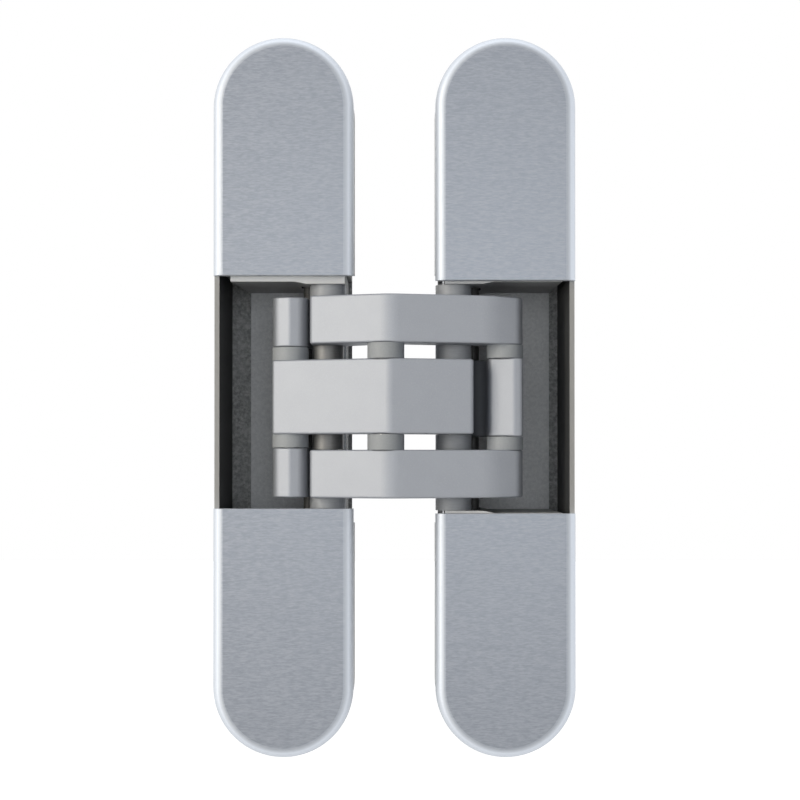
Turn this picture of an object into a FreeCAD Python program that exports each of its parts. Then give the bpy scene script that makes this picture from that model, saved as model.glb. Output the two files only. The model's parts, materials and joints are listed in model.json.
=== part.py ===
import math
import os

import FreeCAD
import Part
import Sketcher

# Concealed door hinge with seven axes, drawn fully open.
# X runs to the right across both leaves, Y runs into the leaves from the cover plates, Z is up.
# The left leaf goes into the frame, the right leaf into the door.
# The sizes below count from midway between the leaves, on the front plane of the cover plates,
# at mid height. Every node is then placed so that the origin is the centre of the left leaf's
# screw pattern, on the back face of its lobes.

LEFT = -1
RIGHT = 1
UPPER = 1
LOWER = -1

SAME_POINT = 1e-6
CUT_MARGIN = 1.0

SIZES = {
    # leaves
    "leaf_centre": 18.2,
    "leaf_width": 23.0,
    "leaf_length": 118.0,
    "opening_length": 38.2,
    "left_opening_shift": 0.8,
    "cover_thickness": 2.0,
    "cover_round": 1.7,
    "cover_peg_radius": 1.0,
    "cover_peg_length": 4.0,
    "housing_inset": 0.1,
    "housing_wall": 0.8,
    "lobe_depth": 12.0,
    "lobe_floor": 3.5,
    "deep_length": 66.0,
    "deep_floor": 1.1,
    "deep_pocket_clearance": 0.3,
    "fixing_radius": 2.3,
    "fixing_head_radius": 4.6,
    "fixing_inner_spacing": 79.0,
    "fixing_outer_spacing": 105.0,
    "peg_ear_gap": 0.5,
    "peg_outer_spacing": 92.0,
    "peg_boss_wall": 0.8,
    "peg_boss_gap": 1.0,
    # carriages
    "carriage_depth": 23.0,
    "carriage_front": 2.2,
    "carriage_wall": 1.65,
    "carriage_span": 41.4,
    "carriage_panel": 1.1,
    "carriage_side": 0.5,
    "carriage_side_front": 9.6,
    "pad_height": 0.35,
    "pad_outer": 14.6,
    "pad_slope": 1.8,
    "left_inner_clearance": 0.6,
    "left_outer_clearance": 1.8,
    "left_panel_clearance": 3.4,
    "right_inner_clearance": 0.7,
    "right_outer_clearance": 1.2,
    "right_panel_clearance": 1.6,
    "ear_width": 15.0,
    "ear_length": 9.4,
    "ear_thickness": 2.5,
    "clamp_reach": 5.3,
    "clamp_slot": 2.0,
    "clamp_radius": 2.0,
    "clamp_head_radius": 3.5,
    "clamp_head_height": 2.0,
    "clamp_bite": 3.0,
    # pivots
    "centre_x": -1.39,
    "centre_y": -1.43,
    "left_front_x": -11.12,
    "left_front_y": 5.82,
    "right_front_x": 9.82,
    "right_front_y": 5.98,
    "left_end_x": -17.27,
    "left_end_y": 4.66,
    "right_end_x": 18.32,
    "right_end_y": 4.52,
    "left_rear_x": -14.44,
    "left_rear_y": 10.61,
    "right_rear_x": 13.31,
    "right_rear_y": 11.36,
    "left_slot_x": -14.17,
    "left_slot_y": 10.99,
    "left_slot_travel": 2.2,
    "right_slot_x": 12.99,
    "right_slot_y": 11.80,
    "right_slot_travel": 2.7,
    "slot_sway": 0.35,
    "slot_clearance": 0.3,
    # pins, washers and spacers
    "centre_pin_radius": 2.0,
    "front_pin_radius": 1.75,
    "end_pin_radius": 1.5,
    "rear_pin_radius": 1.0,
    "running_fit": 0.05,
    "washer_radius": 3.0,
    "left_spacer_radius": 2.65,
    # arms and links
    "centre_arm_height": 12.2,
    "arm_gap": 2.55,
    "bush_length": 2.2,
    "link_reach": 0.35,
    "crest_x": -0.8,
    "crest_y": -4.45,
    "outer_crest_round": 5.0,
    "centre_crest_round": 2.2,
    "left_facet_angle": 18.5,
    "right_facet_angle": 13.6,
    "bend_x": 16.0,
    "bend_round": 9.0,
    "nose_round": 0.8,
    "hollow_round": 3.0,
    "arm_end_radius": 2.9,
    "arm_eye_radius": 3.05,
    "left_eye_radius": 2.7,
    "arm_clearance": 0.4,
    "arm_edge_round": 0.35,
    "link_end_radius": 2.9,
    "link_rear_radius": 1.9,
    "left_link_crest": 0.0,
    "right_link_crest": 1.3,
    "link_crest_round": 1.0,
    "left_link_corner_round": 2.0,
    "right_link_corner_round": 1.1,
    "link_shoulder_round": 1.0,
    "link_neck_round": 2.0,
    "right_neck_y": 8.0,
    "link_edge_round": 0.3,
}

doc = FreeCAD.newDocument("concealed_hinge")
sheet = doc.addObject("Spreadsheet::Sheet", "Dims")
for row, (alias, value) in enumerate(SIZES.items(), start=1):
    sheet.set(f"A{row}", alias)
    sheet.set(f"B{row}", str(value))
    sheet.setAlias(f"B{row}", alias)
doc.recompute()

NODES = []


def size(alias):
    return float(sheet.get(alias))


def cell(alias):
    return f"Dims.{alias}"


# The model's middle, as seen from the part's origin.
MIDDLE_X = cell("leaf_centre")
MIDDLE_Y = f"-1 * {cell('lobe_depth')}"


def keep(node, label):
    """Names a finished sub-part and moves it from the drawing's middle to the part's origin."""
    node.Label = label
    if node.TypeId != "Part::Cylinder":
        node.setExpression("Placement.Base.x", MIDDLE_X)
        node.setExpression("Placement.Base.y", MIDDLE_Y)
    NODES.append(node)
    return node


# Heights shared by the arms, washers, links and pins, as expressions of the sheet.
FIT = cell("running_fit")
LINK_REACH = cell("link_reach")
HALF_SPAN = f"{cell('carriage_span')} / 2"
WALL_FACE = f"({HALF_SPAN} - {cell('carriage_wall')})"
PAD_FACE = f"({WALL_FACE} - {cell('pad_height')})"
CENTRE_TOP = f"{cell('centre_arm_height')} / 2"
OUTER_LOW = f"({CENTRE_TOP} + {cell('arm_gap')})"
OUTER_TOP = f"({PAD_FACE} - {cell('bush_length')})"
SHELF = f"({cell('lobe_depth')} - {cell('lobe_floor')})"

# Inner radius of the housing across the leaf, and its two sides as counted from the middle.
HOUSING_RADIUS = f"({cell('leaf_width')} / 2 - {cell('housing_inset')})"
POCKET_RADIUS = f"({HOUSING_RADIUS} - {cell('housing_wall')})"
POCKET_INNER = f"({cell('leaf_centre')} - {POCKET_RADIUS})"
POCKET_OUTER = f"({cell('leaf_centre')} + {POCKET_RADIUS})"

# Heights of the clamp screws and of the cover pegs, above and below mid height.
CLAMP_HEIGHT = f"({HALF_SPAN} + {cell('clamp_reach')})"
PEG_BOSS_RADIUS = f"({cell('cover_peg_radius')} + {cell('peg_boss_wall')})"
INNER_PEG = f"({HALF_SPAN} + {cell('ear_length')} + {cell('peg_ear_gap')} + {PEG_BOSS_RADIUS})"
PEG_HEIGHTS = (INNER_PEG, f"{cell('peg_outer_spacing')} / 2")


def plane(body, role):
    for feature in body.Origin.OriginFeatures:
        if feature.Role == role:
            return feature
    return None


def sketch_at_depth(body, name, depth):
    """Sketch across the leaf: x is X, y is Z, and the sketch lies at Y = depth."""
    sketch = body.newObject("Sketcher::SketchObject", name)
    sketch.AttachmentSupport = [(plane(body, "XZ_Plane"), "")]
    sketch.MapMode = "FlatFace"
    sketch.setExpression("AttachmentOffset.Base.z", f"-1 * ({depth})")
    return sketch


def sketch_at_height(body, name, height):
    """Sketch seen from above: x is X, y is Y, and the sketch lies at Z = height."""
    sketch = body.newObject("Sketcher::SketchObject", name)
    sketch.AttachmentSupport = [(plane(body, "XY_Plane"), "")]
    sketch.MapMode = "FlatFace"
    sketch.setExpression("AttachmentOffset.Base.z", height)
    return sketch


def evaluate(expression):
    return float(sheet.evalExpression(expression))


def place(sketch, kind, geometry, point, expression):
    """Ties one coordinate of a point to the sheet."""
    index = sketch.addConstraint(
        Sketcher.Constraint(kind, -1, 1, geometry, point, evaluate(expression))
    )
    sketch.setExpression(f"Constraints[{index}]", expression)


def draw_rectangle(sketch, x_low, x_high, y_low, y_high):
    corners = [
        FreeCAD.Vector(evaluate(x), evaluate(y), 0)
        for x, y in ((x_low, y_low), (x_high, y_low), (x_high, y_high), (x_low, y_high))
    ]
    first = sketch.GeometryCount
    for n in range(4):
        sketch.addGeometry(Part.LineSegment(corners[n], corners[(n + 1) % 4]), False)
    for n in range(4):
        sketch.addConstraint(
            Sketcher.Constraint("Coincident", first + n, 2, first + (n + 1) % 4, 1)
        )
    for n, kind in enumerate(("Horizontal", "Vertical", "Horizontal", "Vertical")):
        sketch.addConstraint(Sketcher.Constraint(kind, first + n))
    place(sketch, "DistanceX", first, 1, x_low)
    place(sketch, "DistanceY", first, 1, y_low)
    place(sketch, "DistanceX", first + 2, 1, x_high)
    place(sketch, "DistanceY", first + 2, 1, y_high)


def draw_circle(sketch, x, y, radius):
    centre = FreeCAD.Vector(evaluate(x), evaluate(y), 0)
    index = sketch.addGeometry(
        Part.Circle(centre, FreeCAD.Vector(0, 0, 1), evaluate(radius)), False
    )
    place(sketch, "DistanceX", index, 3, x)
    place(sketch, "DistanceY", index, 3, y)
    bound = sketch.addConstraint(Sketcher.Constraint("Radius", index, evaluate(radius)))
    sketch.setExpression(f"Constraints[{bound}]", radius)


def draw_round_bar(sketch, x, radius, y_low, y_high):
    """Upright bar with a full round at each end, between two heights of its round centres."""
    centre_x = evaluate(x)
    reach = evaluate(radius)
    low = evaluate(y_low)
    high = evaluate(y_high)
    axis = FreeCAD.Vector(0, 0, 1)
    top = Part.ArcOfCircle(Part.Circle(FreeCAD.Vector(centre_x, high, 0), axis, reach), 0, math.pi)
    bottom = Part.ArcOfCircle(
        Part.Circle(FreeCAD.Vector(centre_x, low, 0), axis, reach), math.pi, 2 * math.pi
    )
    left = Part.LineSegment(
        FreeCAD.Vector(centre_x - reach, high, 0), FreeCAD.Vector(centre_x - reach, low, 0)
    )
    right = Part.LineSegment(
        FreeCAD.Vector(centre_x + reach, low, 0), FreeCAD.Vector(centre_x + reach, high, 0)
    )
    first = sketch.GeometryCount
    for curve in (top, left, bottom, right):
        sketch.addGeometry(curve, False)
    for n in range(4):
        sketch.addConstraint(
            Sketcher.Constraint("Tangent", first + n, 2, first + (n + 1) % 4, 1)
        )
    for arc, height in ((first, y_high), (first + 2, y_low)):
        place(sketch, "DistanceX", arc, 3, x)
        place(sketch, "DistanceY", arc, 3, height)
        bound = sketch.addConstraint(Sketcher.Constraint("Radius", arc, reach))
        sketch.setExpression(f"Constraints[{bound}]", radius)


def pad_back(body, sketch, name, length):
    """Raises a sketch across the leaf away from the viewer."""
    pad = body.newObject("PartDesign::Pad", name)
    pad.Profile = sketch
    pad.Reversed = True
    pad.setExpression("Length", length)
    return pad


def pocket_back(body, sketch, name, length):
    """Cuts a sketch across the leaf away from the viewer."""
    pocket = body.newObject("PartDesign::Pocket", name)
    pocket.Profile = sketch
    pocket.setExpression("Length", length)
    return pocket


def signed(side, expression):
    return f"{side} * ({expression})"


def side_name(side):
    return "left" if side == LEFT else "right"


def level_name(level):
    return "upper" if level == UPPER else "lower"


def draw_cover_outline(sketch, side, level, inner_end):
    """Plate outline: a full round outer end and a straight inner end."""
    radius = size("leaf_width") / 2
    centre_x = side * size("leaf_centre")
    arc_y = level * (size("leaf_length") / 2 - radius)
    end_y = evaluate(inner_end)
    axis = FreeCAD.Vector(0, 0, 1)
    circle = Part.Circle(FreeCAD.Vector(centre_x, arc_y, 0), axis, radius)
    start = 0 if level == UPPER else math.pi
    first = sketch.addGeometry(Part.ArcOfCircle(circle, start, start + math.pi), False)
    near = centre_x - level * radius
    far = centre_x + level * radius
    down = Part.LineSegment(FreeCAD.Vector(near, arc_y, 0), FreeCAD.Vector(near, end_y, 0))
    across = Part.LineSegment(FreeCAD.Vector(near, end_y, 0), FreeCAD.Vector(far, end_y, 0))
    back = Part.LineSegment(FreeCAD.Vector(far, end_y, 0), FreeCAD.Vector(far, arc_y, 0))
    for line in (down, across, back):
        sketch.addGeometry(line, False)
    sketch.addConstraint(Sketcher.Constraint("Tangent", first, 2, first + 1, 1))
    sketch.addConstraint(Sketcher.Constraint("Coincident", first + 1, 2, first + 2, 1))
    sketch.addConstraint(Sketcher.Constraint("Coincident", first + 2, 2, first + 3, 1))
    sketch.addConstraint(Sketcher.Constraint("Tangent", first + 3, 2, first, 1))
    sketch.addConstraint(Sketcher.Constraint("Vertical", first + 1))
    sketch.addConstraint(Sketcher.Constraint("Vertical", first + 3))
    sketch.addConstraint(Sketcher.Constraint("Horizontal", first + 2))
    place(sketch, "DistanceX", first, 3, signed(side, cell("leaf_centre")))
    height = f"{cell('leaf_length')} / 2 - {cell('leaf_width')} / 2"
    place(sketch, "DistanceY", first, 3, signed(level, height))
    bound = sketch.addConstraint(Sketcher.Constraint("Radius", first, radius))
    sketch.setExpression(f"Constraints[{bound}]", f"{cell('leaf_width')} / 2")
    place(sketch, "DistanceY", first + 2, 1, inner_end)


def front_rim(shape, inner_end):
    """Names of the plate's front edges, apart from its straight inner end."""
    names = []
    for number, edge in enumerate(shape.Edges, start=1):
        box = edge.BoundBox
        on_front = abs(box.YMax) < SAME_POINT and abs(box.YMin) < SAME_POINT
        on_inner_end = box.ZLength < SAME_POINT and abs(box.ZMin - inner_end) < SAME_POINT
        if on_front and not on_inner_end:
            names.append(f"Edge{number}")
    return names


def make_cover(side, level):
    """Clip-on cover plate with a rounded rim and two pegs behind it."""
    name = f"cover_{side_name(side)}_{level_name(level)}"
    body = doc.addObject("PartDesign::Body", name)
    inner_end = signed(level, f"{cell('opening_length')} / 2")
    if side == LEFT:
        inner_end = f"{inner_end} + {cell('left_opening_shift')}"
    outline = sketch_at_depth(body, f"{name}_outline", "0")
    draw_cover_outline(outline, side, level, inner_end)
    plate = pad_back(body, outline, f"{name}_plate", cell("cover_thickness"))
    doc.recompute()
    rim = body.newObject("PartDesign::Fillet", f"{name}_rim")
    rim.Base = (plate, front_rim(plate.Shape, evaluate(inner_end)))
    rim.setExpression("Radius", cell("cover_round"))
    body.Tip = rim
    pegs = sketch_at_depth(body, f"{name}_peg_outline", cell("cover_thickness"))
    for height in PEG_HEIGHTS:
        draw_circle(
            pegs,
            signed(side, cell("leaf_centre")),
            signed(level, height),
            cell("cover_peg_radius"),
        )
    pad_back(body, pegs, f"{name}_pegs", cell("cover_peg_length"))
    return keep(body, name)


def make_housing(side):
    """Die-cast leaf: round-ended lobes, a deep middle and an open side where the arms pass."""
    name = f"housing_{side_name(side)}"
    body = doc.addObject("PartDesign::Body", name)
    centre = signed(side, cell("leaf_centre"))
    end = f"({cell('leaf_length')} / 2 - {cell('leaf_width')} / 2)"
    deep_end = f"({cell('deep_length')} / 2 - {cell('leaf_width')} / 2)"
    front = cell("cover_thickness")
    back = f"({cell('carriage_depth')} + {cell('deep_floor')})"

    lobes = sketch_at_depth(body, f"{name}_outline", front)
    draw_round_bar(lobes, centre, HOUSING_RADIUS, signed(-1, end), end)
    pad_back(body, lobes, f"{name}_lobes", f"{cell('lobe_depth')} - {front}")

    deep = sketch_at_depth(body, f"{name}_deep_outline", front)
    draw_round_bar(deep, centre, HOUSING_RADIUS, signed(-1, deep_end), deep_end)
    pad_back(body, deep, f"{name}_deep", f"{back} - {front}")

    shallow = sketch_at_depth(body, f"{name}_shelf_outline", front)
    draw_round_bar(shallow, centre, POCKET_RADIUS, signed(-1, end), end)
    pocket_back(body, shallow, f"{name}_shelf", f"{SHELF} - {front}")

    reach = f"({HALF_SPAN} + {cell('deep_pocket_clearance')})"
    well = sketch_at_depth(body, f"{name}_well_outline", front)
    draw_rectangle(
        well, f"{centre} - {POCKET_RADIUS}", f"{centre} + {POCKET_RADIUS}", signed(-1, reach), reach
    )
    pocket_back(body, well, f"{name}_well", f"{cell('carriage_depth')} - {front}")

    inner = sketch_at_depth(body, f"{name}_arm_gap_outline", front)
    wall_inside = signed(side, POCKET_INNER)
    wall_outside = signed(side, f"{POCKET_INNER} - {cell('housing_wall')} - {CUT_MARGIN}")
    low, high = (wall_inside, wall_outside) if side == LEFT else (wall_outside, wall_inside)
    draw_rectangle(inner, low, high, signed(-1, reach), reach)
    pocket_back(body, inner, f"{name}_arm_gap", back)

    trim = sketch_at_depth(body, f"{name}_trim_outline", cell("lobe_depth"))
    half_deep = f"{cell('deep_length')} / 2"
    draw_rectangle(trim, low, high, signed(-1, half_deep), half_deep)
    pocket_back(body, trim, f"{name}_trim", back)

    bosses = sketch_at_depth(
        body, f"{name}_boss_outline", f"{front} + {cell('peg_boss_gap')}"
    )
    peg_holes = [signed(level, height) for height in PEG_HEIGHTS for level in (UPPER, LOWER)]
    for height in peg_holes:
        draw_circle(bosses, centre, height, PEG_BOSS_RADIUS)
    pad_back(body, bosses, f"{name}_bosses", f"{SHELF} - {front} - {cell('peg_boss_gap')}")
    sockets = sketch_at_depth(body, f"{name}_socket_outline", front)
    for height in peg_holes:
        draw_circle(sockets, centre, height, cell("cover_peg_radius"))
    pocket_back(body, sockets, f"{name}_sockets", cell("cover_peg_length"))

    threads = sketch_at_depth(body, f"{name}_thread_outline", SHELF)
    for level in (UPPER, LOWER):
        draw_circle(threads, centre, signed(level, CLAMP_HEIGHT), cell("clamp_radius"))
    pocket_back(body, threads, f"{name}_threads", cell("clamp_bite"))

    fixings = sketch_at_depth(body, f"{name}_fixing_outline", SHELF)
    heights = [
        signed(level, f"{cell(spacing)} / 2")
        for spacing in ("fixing_inner_spacing", "fixing_outer_spacing")
        for level in (UPPER, LOWER)
    ]
    for height in heights:
        draw_circle(fixings, centre, height, cell("fixing_radius"))
    pocket_back(body, fixings, f"{name}_fixings", cell("lobe_floor"))
    sink = f"({cell('fixing_head_radius')} - {cell('fixing_radius')})"
    for number, height in enumerate(heights):
        cone = body.newObject("PartDesign::SubtractiveCone", f"{name}_sink_{number}")
        cone.AttachmentSupport = [(plane(body, "XZ_Plane"), "")]
        cone.MapMode = "FlatFace"
        cone.setExpression("AttachmentOffset.Base.x", centre)
        cone.setExpression("AttachmentOffset.Base.y", height)
        cone.setExpression("AttachmentOffset.Base.z", f"-1 * ({SHELF} + {sink})")
        cone.setExpression("Radius1", cell("fixing_radius"))
        cone.setExpression("Radius2", cell("fixing_head_radius"))
        cone.setExpression("Height", sink)
    return keep(body, name)


def draw_polyline(sketch, points):
    """Closed outline through points given as pairs of expressions."""
    corners = [FreeCAD.Vector(evaluate(x), evaluate(y), 0) for x, y in points]
    count = len(corners)
    first = sketch.GeometryCount
    for n in range(count):
        sketch.addGeometry(Part.LineSegment(corners[n], corners[(n + 1) % count]), False)
    for n in range(count):
        sketch.addConstraint(
            Sketcher.Constraint("Coincident", first + n, 2, first + (n + 1) % count, 1)
        )
    for n, (x, y) in enumerate(points):
        place(sketch, "DistanceX", first + n, 1, x)
        place(sketch, "DistanceY", first + n, 1, y)


def make_carriage(side):
    """Die-cast U-shaped carriage: back panel, top and bottom walls, low inner side, two ears."""
    name = f"carriage_{side_name(side)}"
    word = side_name(side)
    body = doc.addObject("PartDesign::Body", name)
    inner_side = f"({POCKET_INNER} + {cell(f'{word}_inner_clearance')})"
    outer_side = f"({POCKET_OUTER} - {cell(f'{word}_outer_clearance')})"
    inner = signed(side, inner_side)
    outer = signed(side, outer_side)
    panel_outer = signed(side, f"{POCKET_OUTER} - {cell(f'{word}_panel_clearance')}")
    front = cell("carriage_front")
    back = cell("carriage_depth")
    panel_face = f"({back} - {cell('carriage_panel')})"

    outline = sketch_at_height(body, f"{name}_outline", signed(-1, HALF_SPAN))
    draw_polyline(
        outline,
        (
            (inner, front),
            (outer, front),
            (outer, f"{front} + {cell('carriage_wall')}"),
            (panel_outer, panel_face),
            (panel_outer, back),
            (inner, back),
        ),
    )
    block = body.newObject("PartDesign::Pad", f"{name}_block")
    block.Profile = outline
    block.setExpression("Length", cell("carriage_span"))

    before = f"({front} - {CUT_MARGIN})"
    room = sketch_at_depth(body, f"{name}_room_outline", before)
    side_face = signed(side, f"{inner_side} + {cell('carriage_side')}")
    beyond = signed(side, f"{outer_side} + {CUT_MARGIN}")
    pad_end = signed(side, cell("pad_outer"))
    pad_start = signed(side, f"{cell('pad_outer')} + {cell('pad_slope')}")
    draw_polyline(
        room,
        (
            (side_face, PAD_FACE),
            (pad_end, PAD_FACE),
            (pad_start, WALL_FACE),
            (beyond, WALL_FACE),
            (beyond, signed(-1, WALL_FACE)),
            (pad_start, signed(-1, WALL_FACE)),
            (pad_end, signed(-1, PAD_FACE)),
            (side_face, signed(-1, PAD_FACE)),
        ),
    )
    pocket_back(body, room, f"{name}_room", f"{panel_face} - {before}")

    mouth = sketch_at_depth(body, f"{name}_mouth_outline", before)
    past = signed(side, f"{inner_side} - {CUT_MARGIN}")
    low, high = (side_face, past) if side == LEFT else (past, side_face)
    draw_rectangle(mouth, low, high, signed(-1, PAD_FACE), PAD_FACE)
    pocket_back(body, mouth, f"{name}_mouth", f"{cell('carriage_side_front')} - {before}")

    ears = sketch_at_depth(body, f"{name}_ear_outline", f"{SHELF} - {cell('ear_thickness')}")
    for level in (UPPER, LOWER):
        root = signed(level, f"{HALF_SPAN} - {cell('carriage_wall')} / 2")
        tip = signed(level, f"{HALF_SPAN} + {cell('ear_length')}")
        low, high = (root, tip) if level == UPPER else (tip, root)
        centre = signed(side, cell("leaf_centre"))
        half = f"{cell('ear_width')} / 2"
        draw_rectangle(ears, f"{centre} - {half}", f"{centre} + {half}", low, high)
    pad_back(body, ears, f"{name}_ears", cell("ear_thickness"))

    slots = sketch_at_depth(body, f"{name}_slot_outline", f"{SHELF} - {cell('ear_thickness')}")
    for level in (UPPER, LOWER):
        height = signed(level, CLAMP_HEIGHT)
        draw_round_bar(
            slots,
            signed(side, cell("leaf_centre")),
            f"{cell('clamp_radius')} + {cell('slot_clearance')}",
            f"{height} - {cell('clamp_slot')} / 2",
            f"{height} + {cell('clamp_slot')} / 2",
        )
    pocket_back(body, slots, f"{name}_slots", cell("ear_thickness"))

    bores = sketch_at_height(body, f"{name}_bore_outline", HALF_SPAN)
    draw_circle(
        bores, cell(f"{word}_front_x"), cell(f"{word}_front_y"), cell("front_pin_radius")
    )
    reach = f"({cell('rear_pin_radius')} + {cell('slot_sway')} + {cell('slot_clearance')})"
    travel = f"{cell(f'{word}_slot_travel')} / 2 - {cell('slot_sway')}"
    draw_round_bar(
        bores,
        cell(f"{word}_slot_x"),
        reach,
        f"{cell(f'{word}_slot_y')} - ({travel})",
        f"{cell(f'{word}_slot_y')} + ({travel})",
    )
    drill = body.newObject("PartDesign::Pocket", f"{name}_bores")
    drill.Profile = bores
    drill.setExpression("Length", cell("carriage_span"))
    return keep(body, name)


def make_cylinder(name, x, y, low, high, radius):
    cylinder = doc.addObject("Part::Cylinder", name)
    cylinder.setExpression("Radius", radius)
    cylinder.setExpression("Height", f"{high} - ({low})")
    cylinder.setExpression("Placement.Base.x", x)
    cylinder.setExpression("Placement.Base.y", y)
    cylinder.setExpression("Placement.Base.z", low)
    return cylinder


def make_pin(label, pivot, radius, reach):
    """Upright pin on one pivot, as long above mid height as below it."""
    x = f"{cell(f'{pivot}_x')} + {MIDDLE_X}"
    y = f"{cell(f'{pivot}_y')} + {MIDDLE_Y}"
    return keep(make_cylinder(label, x, y, signed(-1, reach), reach, cell(radius)), label)


def make_ring(name, pivot, low, high, radius, bore):
    x = cell(f"{pivot}_x")
    y = cell(f"{pivot}_y")
    ring = doc.addObject("Part::Cut", name)
    ring.Base = make_cylinder(f"{name}_outside", x, y, low, high, cell(radius))
    ring.Tool = make_cylinder(f"{name}_bore", x, y, low, high, cell(bore))
    return ring


def make_ring_pair(label, pivot, low, high, radius, bore):
    """The same ring above and below mid height."""
    pair = doc.addObject("Part::Compound", label)
    pair.Links = [
        make_ring(f"{label}_upper", pivot, low, high, radius, bore),
        make_ring(f"{label}_lower", pivot, signed(-1, high), signed(-1, low), radius, bore),
    ]
    return keep(pair, label)


def make_clamp_screws(side):
    """Two cap screws that clamp the carriage's ears to the housing's shelf."""
    label = f"clamp_screws_{side_name(side)}"
    pieces = []
    for level in (UPPER, LOWER):
        name = f"{label}_{level_name(level)}"
        head = doc.addObject("Part::Cylinder", f"{name}_head")
        shank = doc.addObject("Part::Cylinder", f"{name}_shank")
        seat = f"{SHELF} - {cell('ear_thickness')}"
        head.setExpression("Radius", cell("clamp_head_radius"))
        head.setExpression("Height", cell("clamp_head_height"))
        shank.setExpression("Radius", cell("clamp_radius"))
        shank.setExpression("Height", f"{cell('ear_thickness')} + {cell('clamp_bite')}")
        for part, depth in ((head, f"{seat} - {cell('clamp_head_height')}"), (shank, seat)):
            part.Placement = FreeCAD.Placement(
                FreeCAD.Vector(), FreeCAD.Rotation(FreeCAD.Vector(1, 0, 0), -90)
            )
            part.setExpression("Placement.Base.x", signed(side, cell("leaf_centre")))
            part.setExpression("Placement.Base.y", depth)
            part.setExpression("Placement.Base.z", signed(level, CLAMP_HEIGHT))
        screw = doc.addObject("Part::Fuse", name)
        screw.Base = head
        screw.Tool = shank
        pieces.append(screw)
    group = doc.addObject("Part::Compound", label)
    group.Links = pieces
    return keep(group, label)


def pivot_point(name):
    return FreeCAD.Vector(size(f"{name}_x"), size(f"{name}_y"), 0)


def shared_tangent(first, first_radius, second, second_radius, side):
    """Both ends of the line that touches two circles, on the left (1) or right (-1) of their way."""
    way = second - first
    angle = math.atan2(way.y, way.x)
    lean = math.asin((first_radius - second_radius) / way.Length)
    normal_angle = angle + side * (math.pi / 2 - lean)
    normal = FreeCAD.Vector(math.cos(normal_angle), math.sin(normal_angle), 0)
    return first + normal * first_radius, second + normal * second_radius


def crossing(line, other):
    """Point where two lines in the plan cross."""
    start, end = line
    way = end - start
    from_point, to_point = other
    other_way = to_point - from_point
    cross = way.x * other_way.y - way.y * other_way.x
    offset = from_point - start
    share = (offset.x * other_way.y - offset.y * other_way.x) / cross
    return start + way * share


def eye_stop(start, centre, end, toward):
    """Round eye in an outline: from start to end round its centre, on the side away from a point."""
    away = (centre - toward).normalize()
    return start, centre + away * start.distanceToPoint(centre), end


def rounded_outline(stops):
    """Closed wire through its stops, each an eye or a corner given as (point, radius)."""
    count = len(stops)
    arcs = []
    for n, stop in enumerate(stops):
        if len(stop) == 3:
            arcs.append(stop)
            continue
        corner, radius = stop
        if radius == 0:
            arcs.append((corner, corner, corner))
            continue
        before = stops[n - 1]
        after = stops[(n + 1) % count]
        to_before = (before[2 if len(before) == 3 else 0] - corner).normalize()
        to_after = (after[0] - corner).normalize()
        half = to_before.getAngle(to_after) / 2
        setback = radius / math.tan(half)
        bisector = (to_before + to_after).normalize()
        centre = corner + bisector * (radius / math.sin(half))
        middle = centre - bisector * radius
        arcs.append((corner + to_before * setback, middle, corner + to_after * setback))
    edges = []
    for n, (start, middle, end) in enumerate(arcs):
        if start.distanceToPoint(end) > SAME_POINT:
            edges.append(Part.Arc(start, middle, end).toShape())
        following = arcs[(n + 1) % count][0]
        if end.distanceToPoint(following) > SAME_POINT:
            edges.append(Part.makeLine(end, following))
    return Part.Wire(edges)


def upright_cutter(centre, radius, low, high, toward=None):
    """Cylinder that runs past both ends of a piece, its seam turned towards another point."""
    base = FreeCAD.Vector(centre.x, centre.y, low - CUT_MARGIN)
    cutter = Part.makeCylinder(radius, high - low + 2 * CUT_MARGIN, base)
    if toward is not None:
        way = toward - centre
        cutter.rotate(base, FreeCAD.Vector(0, 0, 1), math.degrees(math.atan2(way.y, way.x)))
    return cutter


def round_outer_edges(shape, radius, low, high):
    """Rounds the edges round the outline at both ends."""
    chosen = []
    for edge in shape.Edges:
        box = edge.BoundBox
        at_end = min(abs(box.ZMin - low), abs(box.ZMin - high)) < SAME_POINT
        if box.ZLength < SAME_POINT and at_end:
            chosen.append(edge)
    return shape.makeFillet(radius, chosen)


def bore_through(shape, bores, low, high):
    for centre, radius in bores:
        shape = shape.cut(upright_cutter(centre, radius, low, high))
    return shape


def arm_blank(stops, hollow, low, high, edge_round):
    """Plan outline raised to its height, with soft edges and a hollow for a spacer."""
    blank = Part.Face(rounded_outline(stops)).extrude(FreeCAD.Vector(0, 0, high - low))
    blank.translate(FreeCAD.Vector(0, 0, low))
    blank = round_outer_edges(blank, edge_round, low, high)
    centre, radius, toward = hollow
    return blank.cut(upright_cutter(centre, radius, low, high, toward))


def facet_slope(word):
    """How fast the front facets on one side of a crest run back from it."""
    return math.tan(math.radians(size(f"{word}_facet_angle")))


def facet_depth(x):
    """Depth of the arms' front facets at a place across the hinge."""
    crest = size("crest_x")
    return size("crest_y") + abs(x - crest) * facet_slope("left" if x < crest else "right")


def facet_point(x):
    return FreeCAD.Vector(x, facet_depth(x), 0)


def solid_feature(label, shape):
    feature = doc.addObject("Part::Feature", label)
    feature.Shape = shape
    return keep(feature, label)


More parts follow.
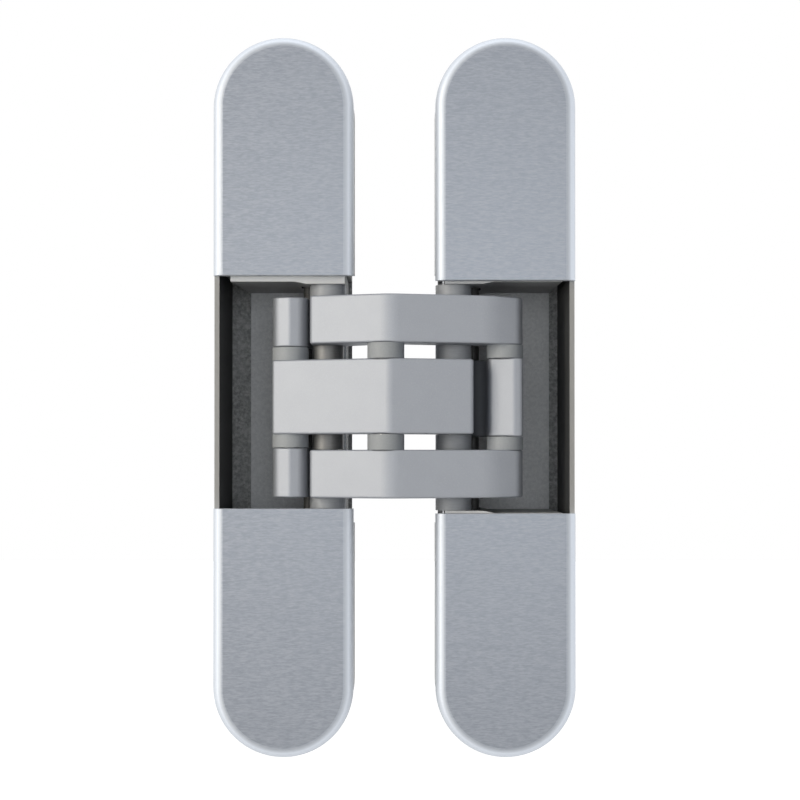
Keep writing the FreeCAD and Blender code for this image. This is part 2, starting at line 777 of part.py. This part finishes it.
def make_outer_arm(level):
    """Outer arm: turns on the left front pin, carries the centre pin and the right end pin."""
    left = pivot_point("left_front")
    centre = pivot_point("centre")
    right = pivot_point("right_end")
    left_radius = size("left_eye_radius")
    eye = size("arm_eye_radius")
    end = size("arm_end_radius")
    nose_x = left.x - left_radius
    bend = facet_point(size("bend_x"))
    bend_end = shared_tangent(bend, 0, right, end, -1)[1]
    right_back = shared_tangent(centre, eye, right, end, 1)
    left_back = shared_tangent(left, left_radius, centre, eye, 1)
    stops = [
        eye_stop(left_back[0], left, FreeCAD.Vector(nose_x, left.y, 0), centre),
        (facet_point(nose_x), size("nose_round")),
        (FreeCAD.Vector(size("crest_x"), size("crest_y"), 0), size("outer_crest_round")),
        (bend, size("bend_round")),
        eye_stop(bend_end, right, right_back[1], centre),
        (crossing(right_back, left_back), size("hollow_round")),
    ]
    low = evaluate(OUTER_LOW)
    high = evaluate(OUTER_TOP)
    spacer = pivot_point("right_front")
    hollow = (spacer, size("washer_radius") + size("arm_clearance"), facet_point(spacer.x))
    blank = arm_blank(stops, hollow, low, high, size("arm_edge_round"))
    bores = [
        (left, size("front_pin_radius") + size("running_fit")),
        (centre, size("centre_pin_radius")),
        (right, size("end_pin_radius")),
    ]
    arm = bore_through(blank, bores, low, high)
    if level == LOWER:
        arm = arm.mirror(FreeCAD.Vector(), FreeCAD.Vector(0, 0, 1))
    return solid_feature(f"outer_arm_{level_name(level)}", arm)


def make_centre_arm():
    """Centre arm: turns on the centre pin and the right front pin, carries the left end pin."""
    left = pivot_point("left_end")
    centre = pivot_point("centre")
    right = pivot_point("right_front")
    eye = size("arm_eye_radius")
    end = size("arm_end_radius")
    left_nose = left.x - end
    right_nose = right.x + eye
    left_back = shared_tangent(left, end, centre, eye, 1)
    right_back = shared_tangent(centre, eye, right, eye, 1)
    stops = [
        eye_stop(left_back[0], left, FreeCAD.Vector(left_nose, left.y, 0), centre),
        (facet_point(left_nose), size("nose_round")),
        (FreeCAD.Vector(size("crest_x"), size("crest_y"), 0), size("centre_crest_round")),
        (facet_point(right_nose), size("nose_round")),
        eye_stop(FreeCAD.Vector(right_nose, right.y, 0), right, right_back[1], centre),
        (crossing(right_back, left_back), size("hollow_round")),
    ]
    high = evaluate(CENTRE_TOP)
    low = -high
    spacer = pivot_point("left_front")
    hollow = (spacer, size("left_spacer_radius") + size("arm_clearance"), facet_point(spacer.x))
    blank = arm_blank(stops, hollow, low, high, size("arm_edge_round"))
    fit = size("running_fit")
    bores = [
        (left, size("end_pin_radius")),
        (centre, size("centre_pin_radius") + fit),
        (right, size("front_pin_radius") + fit),
    ]
    return solid_feature("centre_arm", bore_through(blank, bores, low, high))


def make_link(label, side, low, high):
    """Link with a crested front, from an arm's far end to a pin in the slots of the carriage."""
    word = side_name(side)
    end = pivot_point(f"{word}_end")
    rear = pivot_point(f"{word}_rear")
    end_radius = size("link_end_radius")
    rear_radius = size("link_rear_radius")
    corner_round = size(f"{word}_link_corner_round")
    shoulder_round = size("link_shoulder_round")
    crest = FreeCAD.Vector(end.x + size(f"{word}_link_crest"), end.y - end_radius, 0)
    left_shoulder = FreeCAD.Vector(end.x - end_radius, end.y, 0)
    right_shoulder = FreeCAD.Vector(end.x + end_radius, end.y, 0)
    left_rise = (crest.x - left_shoulder.x) * facet_slope("left")
    right_rise = (right_shoulder.x - crest.x) * facet_slope("right")
    waist = (left_shoulder, shoulder_round)
    if side == RIGHT:
        neck = FreeCAD.Vector(left_shoulder.x, size("right_neck_y"), 0)
        waist = (neck, size("link_neck_round"))
    left_back = shared_tangent(waist[0], 0, rear, rear_radius, 1)[1]
    right_back = shared_tangent(right_shoulder, 0, rear, rear_radius, -1)[1]
    stops = [
        eye_stop(left_back, rear, right_back, end),
        (right_shoulder, shoulder_round),
        (FreeCAD.Vector(right_shoulder.x, crest.y + right_rise, 0), corner_round),
        (crest, size("link_crest_round")),
        (FreeCAD.Vector(left_shoulder.x, crest.y + left_rise, 0), corner_round),
        waist,
    ]
    front = pivot_point(f"{word}_front")
    arm_eye = size("left_eye_radius" if side == LEFT else "arm_eye_radius")
    hollow = (front, arm_eye + size("arm_clearance"), (end + rear) / 2)
    blank = arm_blank(stops, hollow, low, high, size("link_edge_round"))
    bores = [
        (end, size("end_pin_radius") + size("running_fit")),
        (rear, size("rear_pin_radius")),
    ]
    return solid_feature(label, bore_through(blank, bores, low, high))


for hinge_side in (LEFT, RIGHT):
    make_housing(hinge_side)
    make_carriage(hinge_side)
    make_clamp_screws(hinge_side)
    for hinge_level in (UPPER, LOWER):
        make_cover(hinge_side, hinge_level)

make_outer_arm(UPPER)
make_outer_arm(LOWER)
make_centre_arm()

centre_top = evaluate(CENTRE_TOP)
outer_low = evaluate(OUTER_LOW)
outer_high = evaluate(OUTER_TOP)
link_reach = size("link_reach")
make_link("link_left_upper", LEFT, outer_low - link_reach, outer_high)
make_link("link_left_lower", LEFT, -outer_high, link_reach - outer_low)
make_link("link_right", RIGHT, -centre_top - link_reach, centre_top + link_reach)

make_pin("pin_front_left", "left_front", "front_pin_radius", HALF_SPAN)
make_pin("pin_front_right", "right_front", "front_pin_radius", HALF_SPAN)
make_pin("pin_centre", "centre", "centre_pin_radius", OUTER_TOP)
make_pin("pin_end_left", "left_end", "end_pin_radius", OUTER_TOP)
make_pin("pin_end_right", "right_end", "end_pin_radius", OUTER_TOP)
make_pin("pin_rear_left", "left_rear", "rear_pin_radius", f"({HALF_SPAN} - {FIT})")
make_pin("pin_rear_right", "right_rear", "rear_pin_radius", f"({HALF_SPAN} - {FIT})")

make_ring_pair(
    "washers_centre", "centre", f"({CENTRE_TOP} + {FIT})", OUTER_LOW, "washer_radius",
    "centre_pin_radius",
)
make_ring_pair(
    "washers_end_left", "left_end", CENTRE_TOP, f"({OUTER_LOW} - {LINK_REACH} - {FIT})",
    "washer_radius", "end_pin_radius",
)
make_ring_pair(
    "washers_end_right", "right_end", f"({CENTRE_TOP} + {LINK_REACH} + {FIT})", OUTER_LOW,
    "washer_radius", "end_pin_radius",
)
make_ring_pair(
    "bushes_front_left", "left_front", f"({OUTER_TOP} + {FIT})", PAD_FACE, "washer_radius",
    "front_pin_radius",
)
make_ring_pair(
    "spacers_front_right", "right_front", f"({CENTRE_TOP} + {FIT})", PAD_FACE, "washer_radius",
    "front_pin_radius",
)
keep(
    make_ring(
        "spacer_front_left", "left_front", signed(-1, f"({OUTER_LOW} - {FIT})"),
        f"({OUTER_LOW} - {FIT})", "left_spacer_radius", "front_pin_radius",
    ),
    "spacer_front_left",
)

doc.recompute()

for item in doc.Objects:
    if "Invalid" in item.State or "Error" in item.State:
        raise RuntimeError(f"{item.Label} failed: {item.State}")

os.makedirs("parts", exist_ok=True)
for node in NODES:
    shape = node.Shape
    if shape.isNull() or not shape.isValid() or not shape.Solids:
        raise RuntimeError(f"{node.Label} has no valid solid")
    shape.exportStep(f"parts/{node.Label}.step")
    print(node.Label, len(shape.Solids), round(shape.Volume, 2))
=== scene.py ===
import json
import math

import bpy
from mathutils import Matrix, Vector


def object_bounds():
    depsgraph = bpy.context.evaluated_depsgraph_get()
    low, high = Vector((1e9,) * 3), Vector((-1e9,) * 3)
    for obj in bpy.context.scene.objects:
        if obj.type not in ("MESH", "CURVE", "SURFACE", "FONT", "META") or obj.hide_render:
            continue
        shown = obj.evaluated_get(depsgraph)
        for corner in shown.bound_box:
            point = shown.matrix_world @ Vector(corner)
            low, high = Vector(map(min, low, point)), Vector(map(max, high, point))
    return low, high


MM = 0.001

# Depths in the part's frame at which a look changes; depth grows from the covers into the leaves.
COVER_FRONT = -12.0 * MM
HOUSING_RIM = COVER_FRONT + 2.0 * MM
CARRIAGE_RIM = COVER_FRONT + 2.2 * MM
# From the next depth back, the arms and links get painted shade, blended in over the depth after
# it.
REAR_SHADE_DEPTH = -3.0 * MM
REAR_SHADE_FADE = 1.0 * MM

# The left leaf's middle is at 0 and the right one's at twice LEAF_OFFSET. The painted shade in
# the wells reaches WELL_EDGE to both sides of a leaf's middle, and WELL_END up and down. It has
# the share WALL_SHADE_SHARE in the colour of the walls, and END_SHADE_SHARE in that of the ends.
LEAF_OFFSET = 18.2 * MM
WELL_EDGE = 11.3 * MM
WELL_END = 22.0 * MM
WELL_SHADE_FADE = 0.1 * MM
WELL_SHADE_COLOUR = (0.015, 0.016, 0.017)
WALL_SHADE_SHARE = 0.90
END_SHADE_SHARE = 0.48

# Colours of the cover plates: two of the face, those of its strokes and sides, and a painted
# highlight on its rounding.
PLATE_DARK = (0.196, 0.210, 0.236)
PLATE_LIGHT = (0.212, 0.226, 0.253)
PLATE_STROKE = (0.268, 0.282, 0.309)
PLATE_ROUNDING_HIGHLIGHT = (0.64, 0.675, 0.73)
PLATE_SIDE = (0.60, 0.63, 0.67)

# Colours of the arms' coat: two of its cloud, that of its grain, and a dark colour painted as
# shade on the rear parts of the arms and links.
COAT_DARK = (0.327, 0.343, 0.376)
COAT_LIGHT = (0.341, 0.357, 0.390)
COAT_GRAIN = (0.372, 0.388, 0.422)
REAR_SHADE_COLOUR = (0.105, 0.110, 0.120)

# Numbers of a Mix node's colour sockets, since its other sockets have the same names.
MIX_FIRST = 6
MIX_SECOND = 7
MIX_RESULT = 2

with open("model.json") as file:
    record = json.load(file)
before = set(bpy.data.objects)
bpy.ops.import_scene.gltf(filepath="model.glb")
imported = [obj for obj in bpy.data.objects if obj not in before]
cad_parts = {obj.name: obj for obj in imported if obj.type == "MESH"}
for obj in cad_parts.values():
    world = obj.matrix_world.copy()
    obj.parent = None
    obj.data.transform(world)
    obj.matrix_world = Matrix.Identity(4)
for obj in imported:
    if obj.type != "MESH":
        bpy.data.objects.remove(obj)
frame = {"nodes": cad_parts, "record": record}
cad_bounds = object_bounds()
nodes = frame["nodes"]


def new_material(name):
    """Material with an empty Principled shader; returns it, its nodes' tree and the shader."""
    made = bpy.data.materials.new(name)
    made.use_nodes = True
    tree = made.node_tree
    return made, tree, tree.nodes["Principled BSDF"]


def add_node(tree, kind, **values):
    """Node of one kind, whose settings or, where it has no such setting, sockets are given."""
    made = tree.nodes.new(kind)
    for name, value in values.items():
        if hasattr(made, name):
            setattr(made, name, value)
        else:
            made.inputs[name].default_value = value
    return made


def place_on_part(tree, scale):
    """The part's own coordinates, stretched by a scale along X, Y and Z."""
    where = add_node(tree, "ShaderNodeTexCoord")
    mapping = add_node(tree, "ShaderNodeMapping", Scale=scale)
    tree.links.new(where.outputs["Object"], mapping.inputs["Vector"])
    return mapping.outputs["Vector"]


def axis_of(tree, output, axis):
    """One axis of the part's own coordinates, or of the surface's direction in them."""
    where = add_node(tree, "ShaderNodeTexCoord")
    split = add_node(tree, "ShaderNodeSeparateXYZ")
    tree.links.new(where.outputs[output], split.inputs["Vector"])
    return split.outputs[axis]


def noise(tree, scale, detail=4.0, roughness=0.55):
    """Noise whose grains are 1 / scale metres long, with one scale or one for each direction."""
    if not isinstance(scale, tuple):
        scale = (scale, scale, scale)
    made = add_node(tree, "ShaderNodeTexNoise", Scale=1.0, Detail=detail, Roughness=roughness)
    tree.links.new(place_on_part(tree, scale), made.inputs["Vector"])
    return made.outputs["Fac"]


def spread(tree, source, low, high, to_low=0.0, to_high=1.0):
    """Maps the stretch from low to high of a value to another stretch, and holds the ends."""
    made = add_node(tree, "ShaderNodeMapRange")
    made.inputs["From Min"].default_value = low
    made.inputs["From Max"].default_value = high
    made.inputs["To Min"].default_value = to_low
    made.inputs["To Max"].default_value = to_high
    tree.links.new(source, made.inputs["Value"])
    return made.outputs["Result"]


def compute(tree, operation, *values):
    """Result of a Math node, whose values are numbers or outputs."""
    made = add_node(tree, "ShaderNodeMath", operation=operation)
    for socket, value in zip(made.inputs, values):
        if isinstance(value, float):
            socket.default_value = value
        else:
            tree.links.new(value, socket)
    return made.outputs["Value"]


def blend_colours(tree, share, first, second):
    """Colour between two, each a colour or an output; a share of 1 gives the second."""
    made = add_node(tree, "ShaderNodeMix", data_type="RGBA")
    tree.links.new(share, made.inputs["Factor"])
    for number, colour in ((MIX_FIRST, first), (MIX_SECOND, second)):
        if isinstance(colour, tuple):
            made.inputs[number].default_value = (*colour, 1.0)
        else:
            tree.links.new(colour, made.inputs[number])
    return made.outputs[MIX_RESULT]


def add_bump(tree, shader, height, strength, distance):
    """Makes the surface uneven by a height from 0 to 1, which stands for the given distance."""
    made = add_node(tree, "ShaderNodeBump", Strength=strength, Distance=distance)
    tree.links.new(height, made.inputs["Height"])
    tree.links.new(made.outputs["Normal"], shader.inputs["Normal"])


def tilt(tree):
    """Angle in radians by which the surface turns away from the front of the part."""
    to_front = compute(tree, "MULTIPLY", axis_of(tree, "Normal", "Y"), -1.0)
    return compute(tree, "ARCCOSINE", to_front)


def well_painted_shade(tree):
    """Share of painted shade, darkening the walls and ends inside the wells."""
    facing_across = compute(tree, "ABSOLUTE", axis_of(tree, "Normal", "X"))
    facing_up = compute(tree, "ABSOLUTE", axis_of(tree, "Normal", "Z"))
    wall = spread(tree, facing_across, 0.4, 0.8, 0.0, WALL_SHADE_SHARE)
    end = spread(tree, facing_up, 0.4, 0.8, 0.0, END_SHADE_SHARE)
    from_middle = compute(tree, "PINGPONG", axis_of(tree, "Object", "X"), LEAF_OFFSET)
    from_mid_height = compute(tree, "ABSOLUTE", axis_of(tree, "Object", "Z"))
    within_width = spread(tree, from_middle, WELL_EDGE, WELL_EDGE - WELL_SHADE_FADE)
    within_height = spread(tree, from_mid_height, WELL_END, WELL_END - WELL_SHADE_FADE)
    within = compute(tree, "MULTIPLY", within_width, within_height)
    return compute(tree, "MULTIPLY", compute(tree, "MAXIMUM", wall, end), within)


def seen_share(tree, strength):
    """The given strength for camera, glossy and transmission rays, and 0 for all others."""
    path = add_node(tree, "ShaderNodeLightPath").outputs
    seen = compute(tree, "MAXIMUM", path["Is Camera Ray"], path["Is Glossy Ray"])
    seen = compute(tree, "MAXIMUM", seen, path["Is Transmission Ray"])
    return compute(tree, "MULTIPLY", seen, strength)


def brushed_cover(name):
    """Plate brushed across the leaf in short strokes, with a painted highlight on its rounding,
    duller beside.
    """
    made, tree, shader = new_material(name)
    shader.inputs["Metallic"].default_value = 1.0
    strokes = noise(tree, (950.0, 950.0, 5200.0), detail=3.0, roughness=0.6)
    cloud = spread(tree, noise(tree, (900.0, 900.0, 1500.0), detail=2.0), 0.35, 0.65)
    mottle = blend_colours(tree, cloud, PLATE_DARK, PLATE_LIGHT)
    face = blend_colours(tree, spread(tree, strokes, 0.40, 0.72), mottle, PLATE_STROKE)
    angle = tilt(tree)
    # Painted highlight: the rounding is lightened as if it mirrored the bright surroundings.
    rounding = blend_colours(tree, spread(tree, angle, 0.0, 0.55), face, PLATE_ROUNDING_HIGHLIGHT)
    colour = blend_colours(tree, spread(tree, angle, 0.95, 1.30), rounding, PLATE_SIDE)
    tree.links.new(colour, shader.inputs["Base Color"])

    face_roughness = spread(tree, strokes, 0.3, 0.7, 0.36, 0.46)
    added_roughness = spread(tree, angle, 0.0, 0.35, 0.0, 0.24)
    roughness = compute(tree, "ADD", face_roughness, added_roughness)
    tree.links.new(roughness, shader.inputs["Roughness"])
    add_bump(tree, shader, strokes, strength=0.16, distance=0.02 * MM)
    return made


def satin_arm(name):
    """Pearl silver coat on the cast arms and links, with a very fine grain, and painted shade at
    the rear.
    """
    made, tree, shader = new_material(name)
    shader.inputs["Metallic"].default_value = 0.7
    grain = noise(tree, 5500.0, detail=2.0)
    cloud = spread(tree, noise(tree, 260.0, detail=3.0), 0.3, 0.7)
    base = blend_colours(tree, cloud, COAT_DARK, COAT_LIGHT)
    coat = blend_colours(tree, spread(tree, grain, 0.45, 0.75), base, COAT_GRAIN)
    # Painted shade: behind a set depth the coat turns dark, where the rear parts lie in shade.
    depth = axis_of(tree, "Object", "Y")
    rear_shade = spread(tree, depth, REAR_SHADE_DEPTH - REAR_SHADE_FADE, REAR_SHADE_DEPTH + REAR_SHADE_FADE)
    colour = blend_colours(tree, rear_shade, coat, REAR_SHADE_COLOUR)
    tree.links.new(colour, shader.inputs["Base Color"])
    tree.links.new(spread(tree, grain, 0.3, 0.7, 0.54, 0.62), shader.inputs["Roughness"])
    add_bump(tree, shader, grain, strength=0.10, distance=0.03 * MM)
    return made


def rough_cast(name, dark, light, rim_colour, rim_depth):
    """Unpainted die casting: speckled inside, with painted shade on the walls and ends of its
    wells, and of one colour where its front rim is worn.
    """
    made, tree, shader = new_material(name)
    shader.inputs["Metallic"].default_value = 0.1
    shader.inputs["Specular IOR Level"].default_value = 0.18
    speckle = noise(tree, 1700.0, detail=6.0, roughness=0.75)
    blotch = noise(tree, 330.0, detail=4.0)
    skin = blend_colours(tree, spread(tree, speckle, 0.40, 0.64), dark, light)
    skin = blend_colours(tree, spread(tree, blotch, 0.55, 0.85), skin, light)
    # Painted shade: the walls and ends inside the wells are darkened towards near-black.
    skin = blend_colours(tree, well_painted_shade(tree), skin, WELL_SHADE_COLOUR)

    chips = noise(tree, 1400.0, detail=3.0)
    chipped_by = spread(tree, chips, 0.2, 0.8, 0.10 * MM, 0.28 * MM)
    depth = compute(tree, "SUBTRACT", axis_of(tree, "Object", "Y"), chipped_by)
    behind_rim = spread(tree, depth, rim_depth, rim_depth + 0.08 * MM)
    colour = blend_colours(tree, behind_rim, rim_colour, skin)
    tree.links.new(colour, shader.inputs["Base Color"])
    tree.links.new(spread(tree, speckle, 0.3, 0.7, 0.48, 0.72), shader.inputs["Roughness"])
    add_bump(tree, shader, speckle, strength=0.55, distance=0.12 * MM)
    return made


def plain_piece(name, dark, light, metallic, roughness, grain_scale, bump):
    """Turned or moulded piece with a fine grain between two colours and two roughnesses."""
    made, tree, shader = new_material(name)
    shader.inputs["Metallic"].default_value = metallic
    grain = noise(tree, grain_scale, detail=3.0)
    colour = blend_colours(tree, spread(tree, grain, 0.3, 0.7), dark, light)
    tree.links.new(colour, shader.inputs["Base Color"])
    tree.links.new(spread(tree, grain, 0.3, 0.7, *roughness), shader.inputs["Roughness"])
    add_bump(tree, shader, grain, strength=bump, distance=0.03 * MM)
    return made


CASTINGS = {
    "housing_cast": {
        "dark": (0.280, 0.286, 0.290),
        "light": (0.580, 0.587, 0.592),
        "rim_colour": (0.41, 0.41, 0.41),
        "rim_depth": HOUSING_RIM,
    },
    "carriage_cast": {
        "dark": (0.700, 0.712, 0.732),
        "light": (0.860, 0.870, 0.885),
        "rim_colour": (0.70, 0.71, 0.72),
        "rim_depth": CARRIAGE_RIM,
    },
}

# Grain of a piece turned about its upright axis: fine rings.
TURNED = (700.0, 700.0, 6000.0)

PLAIN_PIECES = {
    "washer_polymer": {
        "dark": (0.380, 0.404, 0.432),
        "light": (0.420, 0.444, 0.472),
        "metallic": 0.0,
        "roughness": (0.50, 0.62),
        "grain_scale": 4000.0,
        "bump": 0.10,
    },
    "spacer_steel": {
        "dark": (0.31, 0.325, 0.35),
        "light": (0.37, 0.385, 0.41),
        "metallic": 0.15,
        "roughness": (0.50, 0.60),
        "grain_scale": TURNED,
        "bump": 0.10,
    },
    "spacer_dark": {
        "dark": (0.17, 0.17, 0.17),
        "light": (0.21, 0.21, 0.21),
        "metallic": 0.8,
        "roughness": (0.50, 0.58),
        "grain_scale": TURNED,
        "bump": 0.05,
    },
    "pin_dark": {
        "dark": (0.05, 0.05, 0.05),
        "light": (0.08, 0.08, 0.08),
        "metallic": 0.3,
        "roughness": (0.45, 0.60),
        "grain_scale": TURNED,
        "bump": 0.05,
    },
    "pin_steel": {
        "dark": (0.40, 0.40, 0.41),
        "light": (0.50, 0.50, 0.51),
        "metallic": 1.0,
        "roughness": (0.22, 0.32),
        "grain_scale": TURNED,
        "bump": 0.08,
    },
    "screw_steel": {
        "dark": (0.38, 0.39, 0.40),
        "light": (0.47, 0.48, 0.49),
        "metallic": 1.0,
        "roughness": (0.26, 0.38),
        "grain_scale": 3000.0,
        "bump": 0.10,
    },
}

looks = {"cover_brushed": brushed_cover("cover_brushed"), "arm_satin": satin_arm("arm_satin")}
for slot, values in CASTINGS.items():
    looks[slot] = rough_cast(slot, **values)
for slot, values in PLAIN_PIECES.items():
    looks[slot] = plain_piece(slot, **values)

for row in frame["record"]["subparts"]:
    node = nodes[row["node"]]
    node.data.materials.clear()
    node.data.materials.append(looks[row["material_slot"]])

# Floor below the hanging part: it glows where it is seen, and takes the part's shadow.
FLOOR_DROP = 16.0 * MM
FLOOR_HALF = 0.7
FLOOR_GLOW = 0.84
FLOOR_ALBEDO = 0.5
FLOOR_ROUGHNESS = 0.9
WHITE = (1.0, 1.0, 1.0, 1.0)
low_corner, high_corner = cad_bounds
floor_height = low_corner[2] - FLOOR_DROP
floor_mesh = bpy.data.meshes.new("floor")
floor_mesh.from_pydata(
    [
        (x * FLOOR_HALF, y * FLOOR_HALF, floor_height)
        for x, y in ((-1, -1), (1, -1), (1, 1), (-1, 1))
    ],
    [],
    [(0, 1, 2, 3)],
)
floor = bpy.data.objects.new("floor", floor_mesh)
bpy.context.scene.collection.objects.link(floor)
floor_look, floor_tree, floor_shader = new_material("floor_white")
floor_shader.inputs["Base Color"].default_value = (FLOOR_ALBEDO, FLOOR_ALBEDO, FLOOR_ALBEDO, 1.0)
floor_shader.inputs["Roughness"].default_value = FLOOR_ROUGHNESS
floor_shader.inputs["Emission Color"].default_value = WHITE
floor_tree.links.new(
    seen_share(floor_tree, FLOOR_GLOW), floor_shader.inputs["Emission Strength"]
)
floor_mesh.materials.append(floor_look)

# World: faint even light on the part, white where it is seen or mirrored.
AMBIENT = 0.08
world = bpy.data.worlds.new("studio")
bpy.context.scene.world = world
world.use_nodes = True
world_tree = world.node_tree
ambient = world_tree.nodes["Background"]
ambient.inputs["Color"].default_value = WHITE
ambient.inputs["Strength"].default_value = AMBIENT
seen_sky = add_node(world_tree, "ShaderNodeBackground", Color=WHITE, Strength=1.0)
either_sky = add_node(world_tree, "ShaderNodeMixShader")
world_tree.links.new(seen_share(world_tree, 1.0), either_sky.inputs["Fac"])
world_tree.links.new(ambient.outputs["Background"], either_sky.inputs[1])
world_tree.links.new(seen_sky.outputs["Background"], either_sky.inputs[2])
world_tree.links.new(
    either_sky.outputs["Shader"], world_tree.nodes["World Output"].inputs["Surface"]
)

# Lights: a tall warm key at the left draws the crests, and a low cool one fills the front.
WARM = (1.0, 0.93, 0.81)
COOL = (0.93, 0.97, 1.0)
middle = Vector([(low + high) / 2 for low, high in zip(low_corner, high_corner)])


def softbox(name, azimuth, elevation, distance, size, radiance, colour):
    """Light of one width and height, in metres, that faces the part's middle.

    The azimuth counts in degrees from the front towards the right, the radiance in shares of
    white.
    """
    width, height = size
    lamp = bpy.data.lights.new(name, "AREA")
    lamp.shape = "RECTANGLE"
    lamp.size = width
    lamp.size_y = height
    lamp.energy = radiance * math.pi * width * height
    lamp.color = colour
    thing = bpy.data.objects.new(name, lamp)
    turn = math.radians(azimuth)
    rise = math.radians(elevation)
    way = Vector(
        (math.sin(turn) * math.cos(rise), -math.cos(turn) * math.cos(rise), math.sin(rise))
    )
    thing.location = middle + distance * way
    thing.rotation_euler = (middle - thing.location).to_track_quat("-Z", "Y").to_euler()
    thing.visible_camera = False
    bpy.context.scene.collection.objects.link(thing)


softbox("key_left", -45.0, 1.0, distance=0.70, size=(0.22, 0.64), radiance=9.9, colour=WARM)
softbox("fill_front", 3.0, -15.0, distance=0.85, size=(0.50, 0.95), radiance=2.02, colour=COOL)
softbox("side_right", 100.0, 0.0, distance=0.60, size=(0.30, 0.60), radiance=0.75, colour=COOL)
softbox("top", 0.0, 78.0, distance=0.60, size=(0.55, 0.40), radiance=0.9, colour=COOL)
softbox("back", 180.0, 10.0, distance=0.80, size=(0.90, 0.70), radiance=1.0, colour=COOL)

# Camera: a little below the middle of the part, and nearly level.
CAMERA_PLACE = Vector((19.16, -276.8, -8.95)) * MM
CAMERA_PITCH = math.radians(0.410)
CAMERA_TURN = math.radians(0.012)
CAMERA_SHIFT = 0.05
NEAREST_SEEN = 10.0 * MM
FARTHEST_SEEN = 30.0
FOCAL_PIXELS = 1623.6
FRAME_PIXELS = 800
SENSOR = 36.0
camera_data = bpy.data.cameras.new("camera")
camera_data.sensor_width = SENSOR
camera_data.lens = SENSOR * FOCAL_PIXELS / FRAME_PIXELS
camera_data.shift_y = CAMERA_SHIFT
camera_data.clip_start = NEAREST_SEEN
camera_data.clip_end = FARTHEST_SEEN
camera = bpy.data.objects.new("camera", camera_data)
camera.location = CAMERA_PLACE
camera.rotation_euler = (math.pi / 2 + CAMERA_PITCH, 0.0, CAMERA_TURN)
bpy.context.scene.collection.objects.link(camera)
bpy.context.scene.camera = camera
bpy.context.scene.view_settings.view_transform = "Standard"
